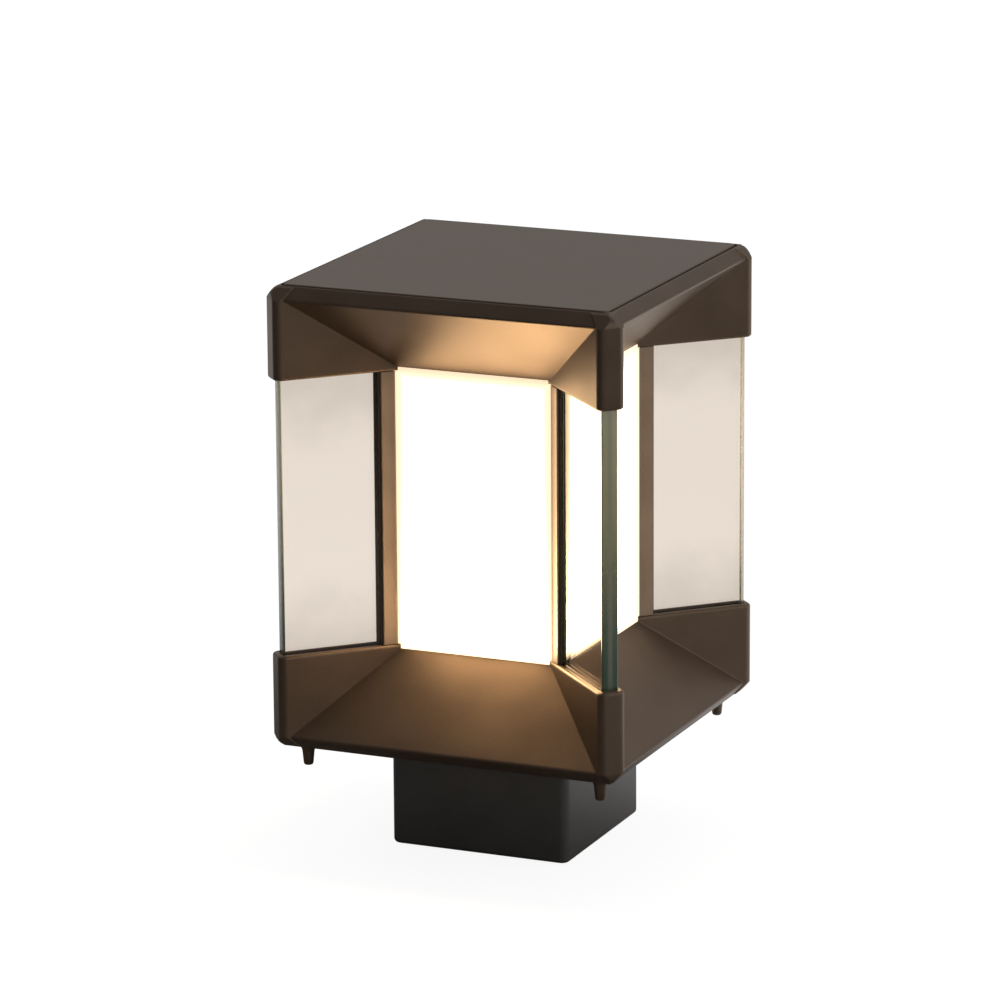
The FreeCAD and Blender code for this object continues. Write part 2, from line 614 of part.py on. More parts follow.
def gear_tray():
    """Tray on four pillars over the cap's floor, for the driver and the terminal block."""
    thread_r = M4_R + THREAD_CLEAR
    grip = M4_GRIP - TRAY_THICKNESS
    pillar = hexagon(PILLAR_FLATS, CASTING_WALL, TRAY_Z).fuse(cylinder(PILLAR_STUD_R, 0, CASTING_WALL))
    pillar = pillar.removeSplitter().cut(cylinder(thread_r, TRAY_Z - grip, TRAY_Z))
    tray = square_block(TRAY_HALF, TRAY_Z, TRAY_TOP)
    corner_in = GLASS_IN - SLOT_BACK - TRAY_CLEAR
    corner_cut = box(corner_in, 2 * TRAY_HALF, -TRAY_HALF, TRAY_HALF, TRAY_Z, TRAY_TOP)
    holes = at_pillars(cylinder(M4_R + HOLE_CLEAR, TRAY_Z, TRAY_TOP))
    driver_hole = cylinder(M3_R + THREAD_CLEAR, TRAY_Z, TRAY_TOP)
    holes += [moved(driver_hole, x, y) for x, y in driver_screw_places()]
    earth_y = -TERMINAL_OFFSET
    holes.append(cylinder(thread_r, TRAY_Z, TRAY_TOP, EARTH_X, earth_y))
    holes.append(cylinder(LEAD_HOLE_R, TRAY_Z, TRAY_TOP))
    fixing = moved(screw(M4_R, M4_HEAD_R, M4_HEAD, TRAY_THICKNESS + grip - THREAD_CLEAR), z=TRAY_TOP)
    earth = moved(screw(M4_R, M4_HEAD_R, M4_HEAD, TRAY_THICKNESS), EARTH_X, earth_y, TRAY_TOP)
    nodes["tray_pillars"] = on_cap(group(at_pillars(pillar)))
    nodes["gear_tray"] = on_cap(tray.cut(at_corners(corner_cut) + holes))
    nodes["tray_screws"] = on_cap(group(at_pillars(fixing)))
    nodes["earth_screw"] = on_cap(earth)


def driver_screw_places():
    reach = (DRIVER_LENGTH + DRIVER_EAR) / 2
    return [(side * reach, DRIVER_OFFSET) for side in (-1, 1)]


def control_gear():
    half = DRIVER_LENGTH / 2
    y0 = DRIVER_OFFSET - DRIVER_WIDTH / 2
    y1 = DRIVER_OFFSET + DRIVER_WIDTH / 2
    case = box(-half, half, y0, y1, TRAY_TOP, TRAY_TOP + DRIVER_HEIGHT)
    upper_edges = edges_between(case, TRAY_TOP + DRIVER_HEIGHT, TRAY_TOP + DRIVER_HEIGHT)
    case = case.makeFillet(DRIVER_EDGE, upper_edges)
    reach = half + DRIVER_EAR
    ear_top = TRAY_TOP + DRIVER_EAR_SHEET
    ears = box(-reach, reach, DRIVER_OFFSET - DRIVER_EAR, DRIVER_OFFSET + DRIVER_EAR, TRAY_TOP, ear_top)
    ear_hole = cylinder(M3_R + HOLE_CLEAR, TRAY_TOP, ear_top)
    fixing = moved(screw(M3_R, M3_HEAD_R, M3_HEAD, DRIVER_EAR_SHEET + TRAY_THICKNESS), z=ear_top)
    places = driver_screw_places()
    driver = case.fuse(ears).cut([moved(ear_hole, x, y) for x, y in places])
    nodes["led_driver"] = on_cap(driver.removeSplitter())
    nodes["driver_screws"] = on_cap(group([moved(fixing, x, y) for x, y in places]))

    half = TERMINAL_LENGTH / 2
    y0 = -TERMINAL_OFFSET - TERMINAL_WIDTH / 2
    y1 = -TERMINAL_OFFSET + TERMINAL_WIDTH / 2
    top = TRAY_TOP + TERMINAL_HEIGHT
    block = box(-half, half, y0, y1, TRAY_TOP, top)
    poles = [(pole - (TERMINAL_POLES - 1) / 2) * TERMINAL_PITCH for pole in range(TERMINAL_POLES)]
    wells = [cylinder(TERMINAL_WELL_R, top - TERMINAL_WELL, top, x, -TERMINAL_OFFSET) for x in poles]
    clamp_r = TERMINAL_WELL_R - THREAD_CLEAR
    well_z = top - TERMINAL_WELL
    clamp_z = top - TERMINAL_WELL / 2
    clamps = [cylinder(clamp_r, well_z, clamp_z, x, -TERMINAL_OFFSET) for x in poles]
    nodes["terminal_block"] = on_cap(block.cut(wells))
    nodes["terminal_clamp_screws"] = on_cap(group(clamps))


def inner_leads():
    """Supply lead from the gland to the terminal block, LED lead from the driver to the column."""
    level = CAP_FLOOR + TRAY_TOP + TERMINAL_HEIGHT / 2
    block_face = -TERMINAL_OFFSET + TERMINAL_WIDTH / 2
    supply = [V(0, 0, GLAND_END), V(0, 0, level), V(0, block_face, level)]
    nodes["supply_lead"] = tube(supply, SUPPLY_LEAD_BEND, SUPPLY_LEAD_R)
    driver_face = DRIVER_OFFSET - DRIVER_WIDTH / 2
    level = CAP_FLOOR + TRAY_TOP + DRIVER_HEIGHT / 2
    drop_y = driver_face - LED_LEAD_BEND - LED_LEAD_R
    led = [V(LED_LEAD_X, driver_face, level), V(LED_LEAD_X, drop_y, level),
           V(LED_LEAD_X, drop_y, CAP_FLOOR - LED_LEAD_DROP)]
    nodes["led_lead"] = tube(led, LED_LEAD_BEND, LED_LEAD_R)


def at_stem_bolts(shape):
    half = STEM_BOLT_SPACING / 2
    return [moved(shape, x * half, y * half) for x in (-1, 1) for y in (-1, 1)]


def side_screw_places():
    half = SIDE_SCREW_SPACING / 2
    return [(SIDES[side], y) for side in ("left", "back") for y in (-half, half)]


def stem():
    """Square tube with a plate welded into its head, which bolts up to the bottom plate."""
    inner = STEM_HALF - STEM_WALL
    top = STEM_HEIGHT - STEM_HEAD
    tube_walls = rounded_block(STEM_HALF, STEM_CORNER_R, 0, STEM_HEIGHT)
    cuts = [rounded_block(inner, STEM_INNER_R, 0, STEM_HEIGHT)]
    across = cylinder(SIDE_SCREW_R + HOLE_CLEAR, 0, STEM_HALF)
    across.rotate(V(0, 0, 0), V(0, 1, 0), 90)
    cuts += [turned(moved(across, 0, y, SIDE_SCREW_HEIGHT), angle) for angle, y in side_screw_places()]
    nodes["stem"] = tube_walls.cut(cuts)

    head = rounded_block(inner - STEM_HEAD_CLEAR, STEM_INNER_R, top, STEM_HEIGHT)
    holes = [cylinder(GLAND_THREAD_R + HOLE_CLEAR, top, STEM_HEIGHT)]
    holes += at_stem_bolts(cylinder(STEM_BOLT_R + HOLE_CLEAR, top, STEM_HEIGHT))
    nodes["stem_head_plate"] = head.cut(holes)

    plate_top = STEM_HEIGHT + BOTTOM_THICKNESS
    bolt = hexagon(STEM_BOLT_HEAD_FLATS, top - STEM_BOLT_HEAD, top)
    bolt = bolt.fuse(cylinder(STEM_BOLT_R, top, plate_top + STEM_NUT + STEM_BOLT_END)).removeSplitter()
    nut = hexagon(STEM_BOLT_HEAD_FLATS, plate_top, plate_top + STEM_NUT)
    nut = nut.cut(cylinder(STEM_BOLT_R + THREAD_CLEAR, plate_top, plate_top + STEM_NUT))
    nodes["stem_bolts"] = group(at_stem_bolts(bolt))
    nodes["stem_nuts"] = group(at_stem_bolts(nut))


def mounting_plate():
    """Plate inside the stem's foot, with four welded tabs that the side screws pull on."""
    half = STEM_HALF - STEM_WALL - MOUNT_CLEAR
    plate = rounded_block(half, STEM_INNER_R, 0, MOUNT_PLATE)
    tab_half = MOUNT_TAB_WIDTH / 2
    tabs = on_sides(box(half - MOUNT_TAB_SHEET, half, -tab_half, tab_half, MOUNT_PLATE, MOUNT_TAB))
    cuts = [cylinder(MOUNT_ENTRY_R, 0, MOUNT_PLATE)]
    bolt = MOUNT_SPACING / 2
    hole = cylinder(MOUNT_HOLE_R, 0, MOUNT_PLATE)
    cuts += [moved(hole, x, y) for x in (-bolt, bolt) for y in (-bolt, bolt)]
    tapped = cylinder(SIDE_SCREW_R + THREAD_CLEAR, half - MOUNT_TAB_SHEET, half)
    tapped.rotate(V(0, 0, 0), V(0, 1, 0), 90)
    length = STEM_WALL + MOUNT_CLEAR + MOUNT_TAB_SHEET
    fixing = screw(SIDE_SCREW_R, SIDE_SCREW_HEAD_R, SIDE_SCREW_HEAD, length)
    fixing.rotate(V(0, 0, 0), V(0, 1, 0), 90)
    fixings = []
    threads = []
    for angle, y in side_screw_places():
        threads.append(turned(moved(tapped, 0, y, SIDE_SCREW_HEIGHT), angle))
        fixings.append(turned(moved(fixing, STEM_HALF, y, SIDE_SCREW_HEIGHT), angle))
    nodes["mounting_plate"] = plate.cut(cuts)
    nodes["mounting_tabs"] = group([tab.cut(threads) for tab in tabs])
    nodes["stem_side_screws"] = group(fixings)


def cable_gland():
    """Gland through the stem's head and the bottom plate, with its locknut in the base."""
    seat = STEM_HEIGHT - STEM_HEAD
    flange = seat - GLAND_FLANGE
    plate_top = STEM_HEIGHT + BOTTOM_THICKNESS
    body = hexagon(GLAND_FLATS, flange, seat).fuse(cylinder(GLAND_THREAD_R, seat, GLAND_END))
    locknut = hexagon(GLAND_FLATS, plate_top, plate_top + GLAND_LOCKNUT)
    mouth = flange - GLAND_NUT
    dome = cylinder(GLAND_NUT_R, mouth, flange)
    dome = dome.makeChamfer(GLAND_NUT_EDGE, edges_between(dome, mouth, mouth))
    bore = cylinder(GLAND_BORE_R, mouth, GLAND_END)
    bush = cylinder(GLAND_BORE_R - THREAD_CLEAR, mouth + GLAND_NUT / 2, GLAND_END)
    nodes["gland_body"] = body.removeSplitter().cut(bore)
    nodes["gland_dome_nut"] = dome.cut(bore)
    nodes["gland_locknut"] = locknut.cut(cylinder(GLAND_THREAD_R + THREAD_CLEAR, plate_top, GLAND_END))
    nodes["gland_bush"] = bush.cut(cylinder(SUPPLY_LEAD_R + THREAD_CLEAR, mouth, GLAND_END))


cap()
top_cover()
base()
corner_feet()
corner_posts()
diffusers()
glass_panes()
end_screws()
light_source()
gear_tray()
control_gear()
inner_leads()
stem()
mounting_plate()
cable_gland()

os.makedirs("parts", exist_ok=True)
for name, shape in nodes.items():
    shape.exportStep("parts/" + name + ".step")
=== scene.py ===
"""A lit path light: bronze lantern head with glass panes on its diagonals, on a short square stem."""

import json
from math import radians

import bpy
import numpy as np
from mathutils import Matrix, Vector


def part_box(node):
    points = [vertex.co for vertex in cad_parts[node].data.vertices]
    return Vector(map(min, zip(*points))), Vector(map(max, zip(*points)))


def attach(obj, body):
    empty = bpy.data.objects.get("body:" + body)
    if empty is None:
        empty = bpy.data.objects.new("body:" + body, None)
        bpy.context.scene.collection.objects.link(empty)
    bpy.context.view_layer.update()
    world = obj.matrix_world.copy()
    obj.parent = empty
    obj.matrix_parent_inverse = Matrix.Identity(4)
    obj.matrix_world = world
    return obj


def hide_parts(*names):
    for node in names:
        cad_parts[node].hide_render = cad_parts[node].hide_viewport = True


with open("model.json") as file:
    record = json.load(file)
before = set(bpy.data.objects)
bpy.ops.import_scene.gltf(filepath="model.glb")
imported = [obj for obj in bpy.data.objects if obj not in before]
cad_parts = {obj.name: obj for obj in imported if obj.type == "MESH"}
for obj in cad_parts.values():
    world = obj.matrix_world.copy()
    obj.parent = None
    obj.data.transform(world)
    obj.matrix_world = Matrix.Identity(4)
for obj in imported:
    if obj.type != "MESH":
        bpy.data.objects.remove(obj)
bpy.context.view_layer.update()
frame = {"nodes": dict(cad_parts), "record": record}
nodes = frame["nodes"]

# Sizes of the light in millimetres, as the solids have them
MM = 0.001
STEM_HALF, STEM_CORNER_R, STEM_HEIGHT, STEM_WALL = 52.0, 5.0, 63.0, 3.5
BASE_TOP, CAP_FLOOR, TOP = 112.2, 268.2, 317.4
PANEL_SHOWN = 44.8
COVER_HALF, COVER_THICKNESS, COVER_CORNER_R = 93.0, 4.0, 3.0
GLASS_IN, GLASS_OUT, GLASS_HALF = 75.66, 134.82, 4.5
GASKET_IN, GASKET_OUT, GASKET_WALL = 74.36, 80.06, 1.3
FOOT_RADIUS, FOOT_HEIGHT = 120.62, 12.4
CORNERS = {"back_right": 45, "back_left": 135, "front_left": 225, "front_right": 315}

# The range that most of a noise lies in
NOISE_RANGE = 0.3, 0.7

# The studio: the floor's reach in metres, its grey and glow, and the light from each side, where 1 is white
FLOOR_REACH, FLOOR_GREY, FLOOR_WHITE, FLOOR_SIDE_GLOW = 12.0, 0.25, 0.9, 0.3
ROOM_LIGHT, BACK_LIGHT, RIGHT_LIGHT, OVERHEAD_LIGHT = 0.19, 0.12, 1.3, 0.6

# The photograph's viewpoint: a long lens a little above the cap, off the near corner
CAMERA_AZIMUTH, CAMERA_ELEVATION, CAMERA_ROLL = radians(23.4923), radians(14.3606), radians(-0.3948)
CAMERA_DISTANCE, AIM_SIDEWAYS, AIM_HEIGHT = 2983.4, -7.7079, 186.09
FOCAL_PIXELS, IMAGE_PIXELS, SENSOR = 5494.44, 1000, 36.0


# Shapes


def turn(points, degrees):
    """Points turned about the upright axis: x' = x cos a - y sin a, y' = x sin a + y cos a."""
    a = radians(degrees)
    spin = np.array([[np.cos(a), np.sin(a), 0], [-np.sin(a), np.cos(a), 0], [0, 0, 1]])
    return points @ spin


def arc(start, end, count):
    """Cosines and sines of count angles spread evenly from start to end, in degrees."""
    angle = np.radians(np.linspace(start, end, count))
    return np.stack([np.cos(angle), np.sin(angle)], axis=-1)


def rounded_outline(half_x, half_y, radius, steps=8):
    """A rectangle with quarter circles for corners: corner centre plus radius times a turning unit vector."""
    centres = np.array([[1, 1], [-1, 1], [-1, -1], [1, -1]]) * [half_x - radius, half_y - radius]
    quarters = [centre + radius * arc(90 * k, 90 * k + 90, steps) for k, centre in enumerate(centres)]
    return np.concatenate(quarters)


def at_height(outline, z):
    """A flat outline laid level at height z."""
    return np.column_stack([outline, np.full(len(outline), z)])


def lofted(rings, ends="capped"):
    """Faces of a stack of closed rings, ring by ring.

    The ends are flat caps, or the last ring joins the first.
    """
    count, size = rings.shape[:2]
    index = np.arange(count * size).reshape(count, size)
    low, high = (index, np.roll(index, -1, 0)) if ends == "joined" else (index[:-1], index[1:])
    quads = np.stack([low, np.roll(low, -1, 1), np.roll(high, -1, 1), high], axis=-1)
    faces = quads.reshape(-1, 4).tolist()
    if ends == "capped":
        faces += [index[0, ::-1].tolist(), index[-1].tolist()]
    return rings.reshape(-1, 3), faces


def piece(name, shells, finish, body, stands_for, sharp=38):
    """One object at the origin from one or more shells, riding a body in place of a CAD node."""
    points, faces = [], []
    for shell_points, shell_faces in shells:
        start = sum(len(block) for block in points)
        faces += [[start + i for i in face] for face in shell_faces]
        points.append(shell_points)
    mesh = bpy.data.meshes.new(name)
    mesh.from_pydata((np.concatenate(points) * MM).tolist(), [], faces)
    mesh.polygons.foreach_set("use_smooth", np.ones(len(mesh.polygons), bool))
    mesh.set_sharp_from_angle(angle=radians(sharp))
    mesh.materials.append(finishes[finish])
    shape = bpy.data.objects.new(name, mesh)
    bpy.context.scene.collection.objects.link(shape)
    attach(shape, body)
    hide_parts(stands_for)


# Finishes


class Nodes:
    """A node tree under construction, with the steps that the finishes and the studio share."""

    def __init__(self, tree, coordinates):
        self.tree = tree
        self.place = self.node("ShaderNodeTexCoord").outputs[coordinates]

    def node(self, kind, **values):
        """A new node with some of its settings and input values filled in."""
        made = self.tree.nodes.new(kind)
        for key, value in values.items():
            if key in made.inputs:
                made.inputs[key].default_value = value
            else:
                setattr(made, key, value)
        return made

    def link(self, source, target):
        self.tree.links.new(source, target)

    def math(self, operation, *values):
        """One step of arithmetic on sockets or plain numbers."""
        made = self.node("ShaderNodeMath", operation=operation)
        for slot, value in zip(made.inputs, values):
            if hasattr(value, "node"):
                self.link(value, slot)
            else:
                slot.default_value = value
        return made.outputs["Value"]

    def axes(self):
        """The three coordinates as sockets."""
        split = self.node("ShaderNodeSeparateXYZ")
        self.link(self.place, split.inputs["Vector"])
        return split.outputs

    def spread(self, source, low, high, to_low=0.0, to_high=1.0, smooth=True):
        """Source from low to high mapped onto to_low to to_high, held at both ends."""
        made = self.node("ShaderNodeMapRange", interpolation_type="SMOOTHSTEP" if smooth else "LINEAR")
        for slot, value in zip(("From Min", "From Max", "To Min", "To Max"), (low, high, to_low, to_high)):
            made.inputs[slot].default_value = value
        self.link(source, made.inputs["Value"])
        return made.outputs["Result"]


class Finish(Nodes):
    """A material under construction: a Principled shader and what feeds it, on Object coordinates."""

    def __init__(self, name, **sockets):
        self.material = bpy.data.materials.new(name)
        self.material.use_nodes = True
        super().__init__(self.material.node_tree, "Object")
        self.shader = self.tree.nodes["Principled BSDF"]
        self.output = self.tree.nodes["Material Output"]
        for socket, value in sockets.items():
            self.shader.inputs[socket.replace("_", " ")].default_value = value

    def stretched(self, scale):
        """Object coordinates with each axis scaled on its own."""
        mapping = self.node("ShaderNodeMapping", Scale=scale)
        self.link(self.place, mapping.inputs["Vector"])
        return mapping.outputs["Vector"]

    def noise(self, size_mm, detail, vector=None):
        """Noise from 0 to 1 whose features are about size_mm across."""
        made = self.node("ShaderNodeTexNoise", Scale=1.0 / (size_mm * MM), Detail=detail, Roughness=0.55)
        self.link(self.place if vector is None else vector, made.inputs["Vector"])
        return made.outputs["Fac"]

    def tint(self, factor, first, second):
        """Colour that goes from first to second with the factor. Either may be a socket."""
        made = self.node("ShaderNodeMix", data_type="RGBA")
        self.link(factor, made.inputs["Factor"])
        for slot, colour in ((made.inputs[6], first), (made.inputs[7], second)):
            if hasattr(colour, "node"):
                self.link(colour, slot)
            else:
                slot.default_value = (*colour, 1.0)
        return made.outputs[2]

    def colour(self, source, socket="Base Color"):
        self.link(source, self.shader.inputs[socket])

    def rough(self, source, limits):
        """Roughness that follows a noise between two limits."""
        self.link(self.spread(source, 0.25, 0.75, *limits), self.shader.inputs["Roughness"])

    def rounded_normal(self, radius_mm):
        """The surface's direction as if its edges were rounded by radius_mm."""
        return self.node("ShaderNodeBevel", samples=6, Radius=radius_mm * MM).outputs["Normal"]

    def relief(self, height, depth_mm, strength, edge_mm=0.0):
        """Bump from a height socket, over edges that the light meets as if rounded by edge_mm."""
        bump = self.node("ShaderNodeBump", Strength=strength, Distance=depth_mm * MM)
        self.link(height, bump.inputs["Height"])
        if edge_mm:
            self.link(self.rounded_normal(edge_mm), bump.inputs["Normal"])
        self.link(bump.outputs["Normal"], self.shader.inputs["Normal"])

    # This edge mask carries both wear and a painted highlight along the edges.
    def wear_and_highlight_edges(self, radius_mm):
        """0 on flats and up to 1 along sharp edges: how far the rounded normal leans from the true one."""
        lean = self.node("ShaderNodeVectorMath", operation="DOT_PRODUCT")
        self.link(self.rounded_normal(radius_mm), lean.inputs[0])
        self.link(self.node("ShaderNodeNewGeometry").outputs["Normal"], lean.inputs[1])
        return self.spread(lean.outputs["Value"], 0.98, 0.75)


def powder_coat(name, dark, light, metal, shine, rough):
    """Fine-textured powder coat: cloudy colour, metal flakes, orange-peel grain, edges paler from wear and
    painted highlight.
    """
    finish = Finish(name, Metallic=metal, Specular_IOR_Level=shine)
    clouds = finish.noise(size_mm=26.0, detail=4.0)
    grain = finish.noise(size_mm=0.7, detail=2.0)
    speck, worn_and_highlit = [1.35 * c for c in light], [1.6 * c for c in light]
    cloudy = finish.tint(finish.spread(clouds, *NOISE_RANGE), dark, light)
    speckled = finish.tint(finish.spread(grain, 0.45, 0.8, to_high=0.3), cloudy, speck)
    # Paler along the edges: partly worn coat, partly a painted highlight.
    edges = finish.math("MULTIPLY", finish.wear_and_highlight_edges(radius_mm=1.2), 0.25)
    finish.colour(finish.tint(edges, speckled, worn_and_highlit))
    finish.rough(clouds, rough)
    finish.relief(grain, depth_mm=0.05, strength=0.35, edge_mm=0.9)
    return finish.material


def pane_glass(name, middle, ends, ground_painted_light, ground_painted_shade, ground_painted_highlight, green, density):
    """Toughened glass: clear faces darker towards the slots as painted shade, ground outer edges in painted
    light and shade, green along its depth.

    Along a diagonal a point's reach is the larger of |x + y| and |x - y| over the root of 2, and its
    distance from the pane's middle plane is the smaller one. Shadow rays pass as if through a thin tint.
    """
    finish = Finish(name, IOR=1.52)
    axes = finish.axes()
    mid_height, shade_starts, shade_full, smear_by = (BASE_TOP + CAP_FLOOR) / 2 * MM, 30 * MM, 82 * MM, 6.0 * MM
    sums = [finish.math("ABSOLUTE", finish.math(step, axes["X"], axes["Y"])) for step in ("ADD", "SUBTRACT")]
    sums = [finish.math("MULTIPLY", total, 0.5 ** 0.5) for total in sums]
    reach, offset = finish.math("MAXIMUM", *sums), finish.math("MINIMUM", *sums)
    from_middle = finish.math("ABSOLUTE", finish.math("SUBTRACT", axes["Z"], mid_height))
    # Faces: a beige middle that paints in a background seen through the glass, darkening towards the slots as
    # painted shade, with a noise breaking up where the shade begins.
    smear = finish.spread(finish.noise(size_mm=30.0, detail=3.0), *NOISE_RANGE, -smear_by, smear_by)
    painted_shade_to_ends = finish.spread(finish.math("ADD", from_middle, smear), shade_starts, shade_full)
    faces = finish.tint(painted_shade_to_ends, middle, ends)
    # Ground edges: painted light at the top, painted shade in dark green at the foot, and a painted highlight
    # line along the middle.
    height = finish.spread(axes["Z"], (BASE_TOP + 15) * MM, (CAP_FLOOR - 30) * MM)
    line = finish.spread(offset, 0.4 * MM, 2.2 * MM, 0.5, 0.0)
    ground = finish.tint(line, finish.tint(height, ground_painted_shade, ground_painted_light), ground_painted_highlight)
    edge = finish.spread(reach, (GLASS_OUT - 0.6) * MM, (GLASS_OUT - 0.2) * MM)
    finish.colour(finish.tint(edge, faces, ground))
    finish.link(finish.math("MULTIPLY_ADD", edge, 0.2, 0.02), finish.shader.inputs["Roughness"])
    finish.link(finish.math("MULTIPLY_ADD", edge, -0.35, 1.0), finish.shader.inputs["Transmission Weight"])
    finish.relief(finish.noise(size_mm=45.0, detail=1.0), depth_mm=0.02, strength=0.1)
    thin_tint = finish.node("ShaderNodeBsdfTransparent", Color=(*[0.9 * c for c in middle], 1.0))
    mix = finish.node("ShaderNodeMixShader")
    finish.link(finish.node("ShaderNodeLightPath").outputs["Is Shadow Ray"], mix.inputs["Fac"])
    finish.link(finish.shader.outputs["BSDF"], mix.inputs[1])
    finish.link(thin_tint.outputs["BSDF"], mix.inputs[2])
    finish.link(mix.outputs["Shader"], finish.output.inputs["Surface"])
    depth = finish.node("ShaderNodeVolumeAbsorption", Color=(*green, 1.0), Density=density)
    finish.link(depth.outputs["Volume"], finish.output.inputs["Volume"])
    return finish.material


def lit_opal(name, middle, edge, glow):
    """Opal acrylic lit from behind: white in the middle, falling by the square of the way out to warm edges.

    The light falls off over a wide band at the upright sides, a narrower one at the top and a thin one below.
    The front panel is the brightest: it has more light all over, growing with the cube of the way down.
    """
    finish = Finish(name, Base_Color=(0.93, 0.90, 0.85, 1.0), Roughness=0.32, Emission_Strength=glow)
    axes = finish.axes()
    every_panel, front_all_over, front_foot = 0.095, 0.065, 0.83

    def band(source, rim, starts, full):
        """0 to 1 between two distances from the rim of what shows, both in millimetres."""
        return finish.spread(source, (rim + starts) * MM, (rim + full) * MM, smooth=False)

    across = finish.math("MINIMUM", finish.math("ABSOLUTE", axes["X"]), finish.math("ABSOLUTE", axes["Y"]))
    side = band(across, PANEL_SHOWN, 1.5, -14.0)
    upper = band(axes["Z"], CAP_FLOOR, -1.0, -12.0)
    lower = band(axes["Z"], BASE_TOP, -1.0, 7.0)
    cloud = finish.spread(finish.noise(size_mm=18.0, detail=2.0), *NOISE_RANGE, 0.92, 1.0)
    ramp = finish.math("MULTIPLY", finish.math("MINIMUM", side, finish.math("MINIMUM", upper, lower)), cloud)
    downwards = finish.spread(axes["Z"], CAP_FLOOR * MM, BASE_TOP * MM, smooth=False)
    stronger = finish.math("MULTIPLY_ADD", finish.math("POWER", downwards, 3.0), front_foot, front_all_over)
    front = finish.math("MULTIPLY", finish.spread(axes["Y"], -49.0 * MM, -50.5 * MM), stronger)
    share = finish.math("MULTIPLY", finish.math("POWER", ramp, 2.0), finish.math("ADD", front, every_panel))
    finish.colour(finish.tint(share, edge, middle), "Emission Color")
    finish.relief(finish.noise(size_mm=0.9, detail=2.0), depth_mm=0.02, strength=0.15)
    return finish.material


def soft_rubber(name, dark, light):
    """Moulded silicone rubber with a faint bloom of dust."""
    finish = Finish(name, Specular_IOR_Level=0.08)
    dust = finish.noise(size_mm=3.0, detail=5.0)
    finish.colour(finish.tint(finish.spread(dust, 0.4, 0.75), dark, light))
    finish.rough(dust, (0.3, 0.48))
    finish.relief(finish.noise(size_mm=0.5, detail=2.0), depth_mm=0.03, strength=0.3)
    return finish.material


def bright_metal(name, dark, light, rough, drawn=(1.0, 1.0, 12.0)):
    """Bare or plated metal with drawn streaks across the stretched axis and a cloudy shine."""
    finish = Finish(name, Metallic=1.0)
    streaks = finish.noise(2.2, 4.0, finish.stretched(drawn))
    clouds = finish.noise(size_mm=9.0, detail=3.0)
    finish.colour(finish.tint(finish.spread(clouds, *NOISE_RANGE), dark, light))
    finish.rough(streaks, rough)
    finish.relief(streaks, depth_mm=0.02, strength=0.3, edge_mm=0.3)
    return finish.material


def moulded_plastic(name, dark, light, rough, grain_mm):
    """Moulded plastic with a fine spark-eroded grain."""
    finish = Finish(name, Specular_IOR_Level=0.45)
    grain = finish.noise(grain_mm, detail=3.0)
    clouds = finish.noise(size_mm=14.0, detail=3.0)
    finish.colour(finish.tint(finish.spread(clouds, *NOISE_RANGE), dark, light))
    finish.rough(grain, rough)
    finish.relief(grain, depth_mm=0.04, strength=0.3, edge_mm=0.4)
    return finish.material


# Each finish: how it is made, the record's name for it and its looks
FINISHES = [
    (powder_coat, "bronze_coat", dict(dark=(0.114, 0.080, 0.057), light=(0.128, 0.091, 0.065),
                                      metal=0.77, shine=0.15, rough=(0.38, 0.43))),
    # The posts' coat is the castings' bronze made over twice as light: the extra lightness is painted light
    # from the lit panels beside them.
    (powder_coat, "post_coat", dict(dark=(0.250, 0.188, 0.138), light=(0.280, 0.211, 0.156),
                                    metal=0.45, shine=0.4, rough=(0.32, 0.38))),
    (powder_coat, "stem_coat", dict(dark=(0.054, 0.049, 0.045), light=(0.063, 0.058, 0.053),
                                    metal=0.0, shine=0.7, rough=(0.40, 0.46))),
    # Glass: the beige middle paints in a background seen through it, the darker ends are painted shade, and
    # the ground edge colours are painted light, shade and a highlight line.
    (pane_glass, "clear_glass", dict(middle=(0.85, 0.73, 0.655), ends=(0.655, 0.555, 0.495),
                                     ground_painted_light=(0.95, 0.90, 0.55), ground_painted_shade=(0.07, 0.18, 0.12),
                                     ground_painted_highlight=(0.62, 0.60, 0.46), green=(0.40, 0.80, 0.55), density=10.0)),
    (lit_opal, "opal_panel", dict(middle=(1.0, 0.69, 0.37), edge=(0.0190, 0.0139, 0.0087), glow=50.0)),
    (soft_rubber, "black_rubber", dict(dark=(0.080, 0.056, 0.034), light=(0.100, 0.072, 0.046))),
    (bright_metal, "zinc_steel", dict(dark=(0.50, 0.50, 0.49), light=(0.62, 0.62, 0.61), rough=(0.28, 0.45))),
    (bright_metal, "plate_steel", dict(dark=(0.38, 0.38, 0.38), light=(0.55, 0.55, 0.54), rough=(0.42, 0.6),
                                       drawn=(1.0, 1.0, 1.0))),
    (bright_metal, "bare_aluminium", dict(dark=(0.66, 0.66, 0.67), light=(0.76, 0.76, 0.77),
                                          rough=(0.3, 0.42))),
    (bright_metal, "brass", dict(dark=(0.60, 0.44, 0.19), light=(0.74, 0.57, 0.28), rough=(0.25, 0.4))),
    (moulded_plastic, "board_white", dict(dark=(0.80, 0.80, 0.77), light=(0.86, 0.86, 0.84),
                                          rough=(0.28, 0.4), grain_mm=1.5)),
    (moulded_plastic, "led_phosphor", dict(dark=(0.85, 0.60, 0.12), light=(0.90, 0.68, 0.18),
                                           rough=(0.2, 0.3), grain_mm=0.6)),
    (moulded_plastic, "gear_plastic", dict(dark=(0.66, 0.66, 0.64), light=(0.72, 0.72, 0.70),
                                           rough=(0.4, 0.55), grain_mm=0.5)),
    (soft_rubber, "lead_sheath", dict(dark=(0.014, 0.014, 0.014), light=(0.028, 0.027, 0.026))),
    (moulded_plastic, "gland_plastic", dict(dark=(0.02, 0.02, 0.02), light=(0.03, 0.03, 0.03),
                                            rough=(0.4, 0.55), grain_mm=0.5)),
]
finishes = {name: make(name, **looks) for make, name, looks in FINISHES}
for part in frame["record"]["subparts"]:
    slots = nodes[part["node"]].data.materials
    slots.clear()
    slots.append(finishes[part["material_slot"]])


# Pieces that stand for CAD nodes with finer edges


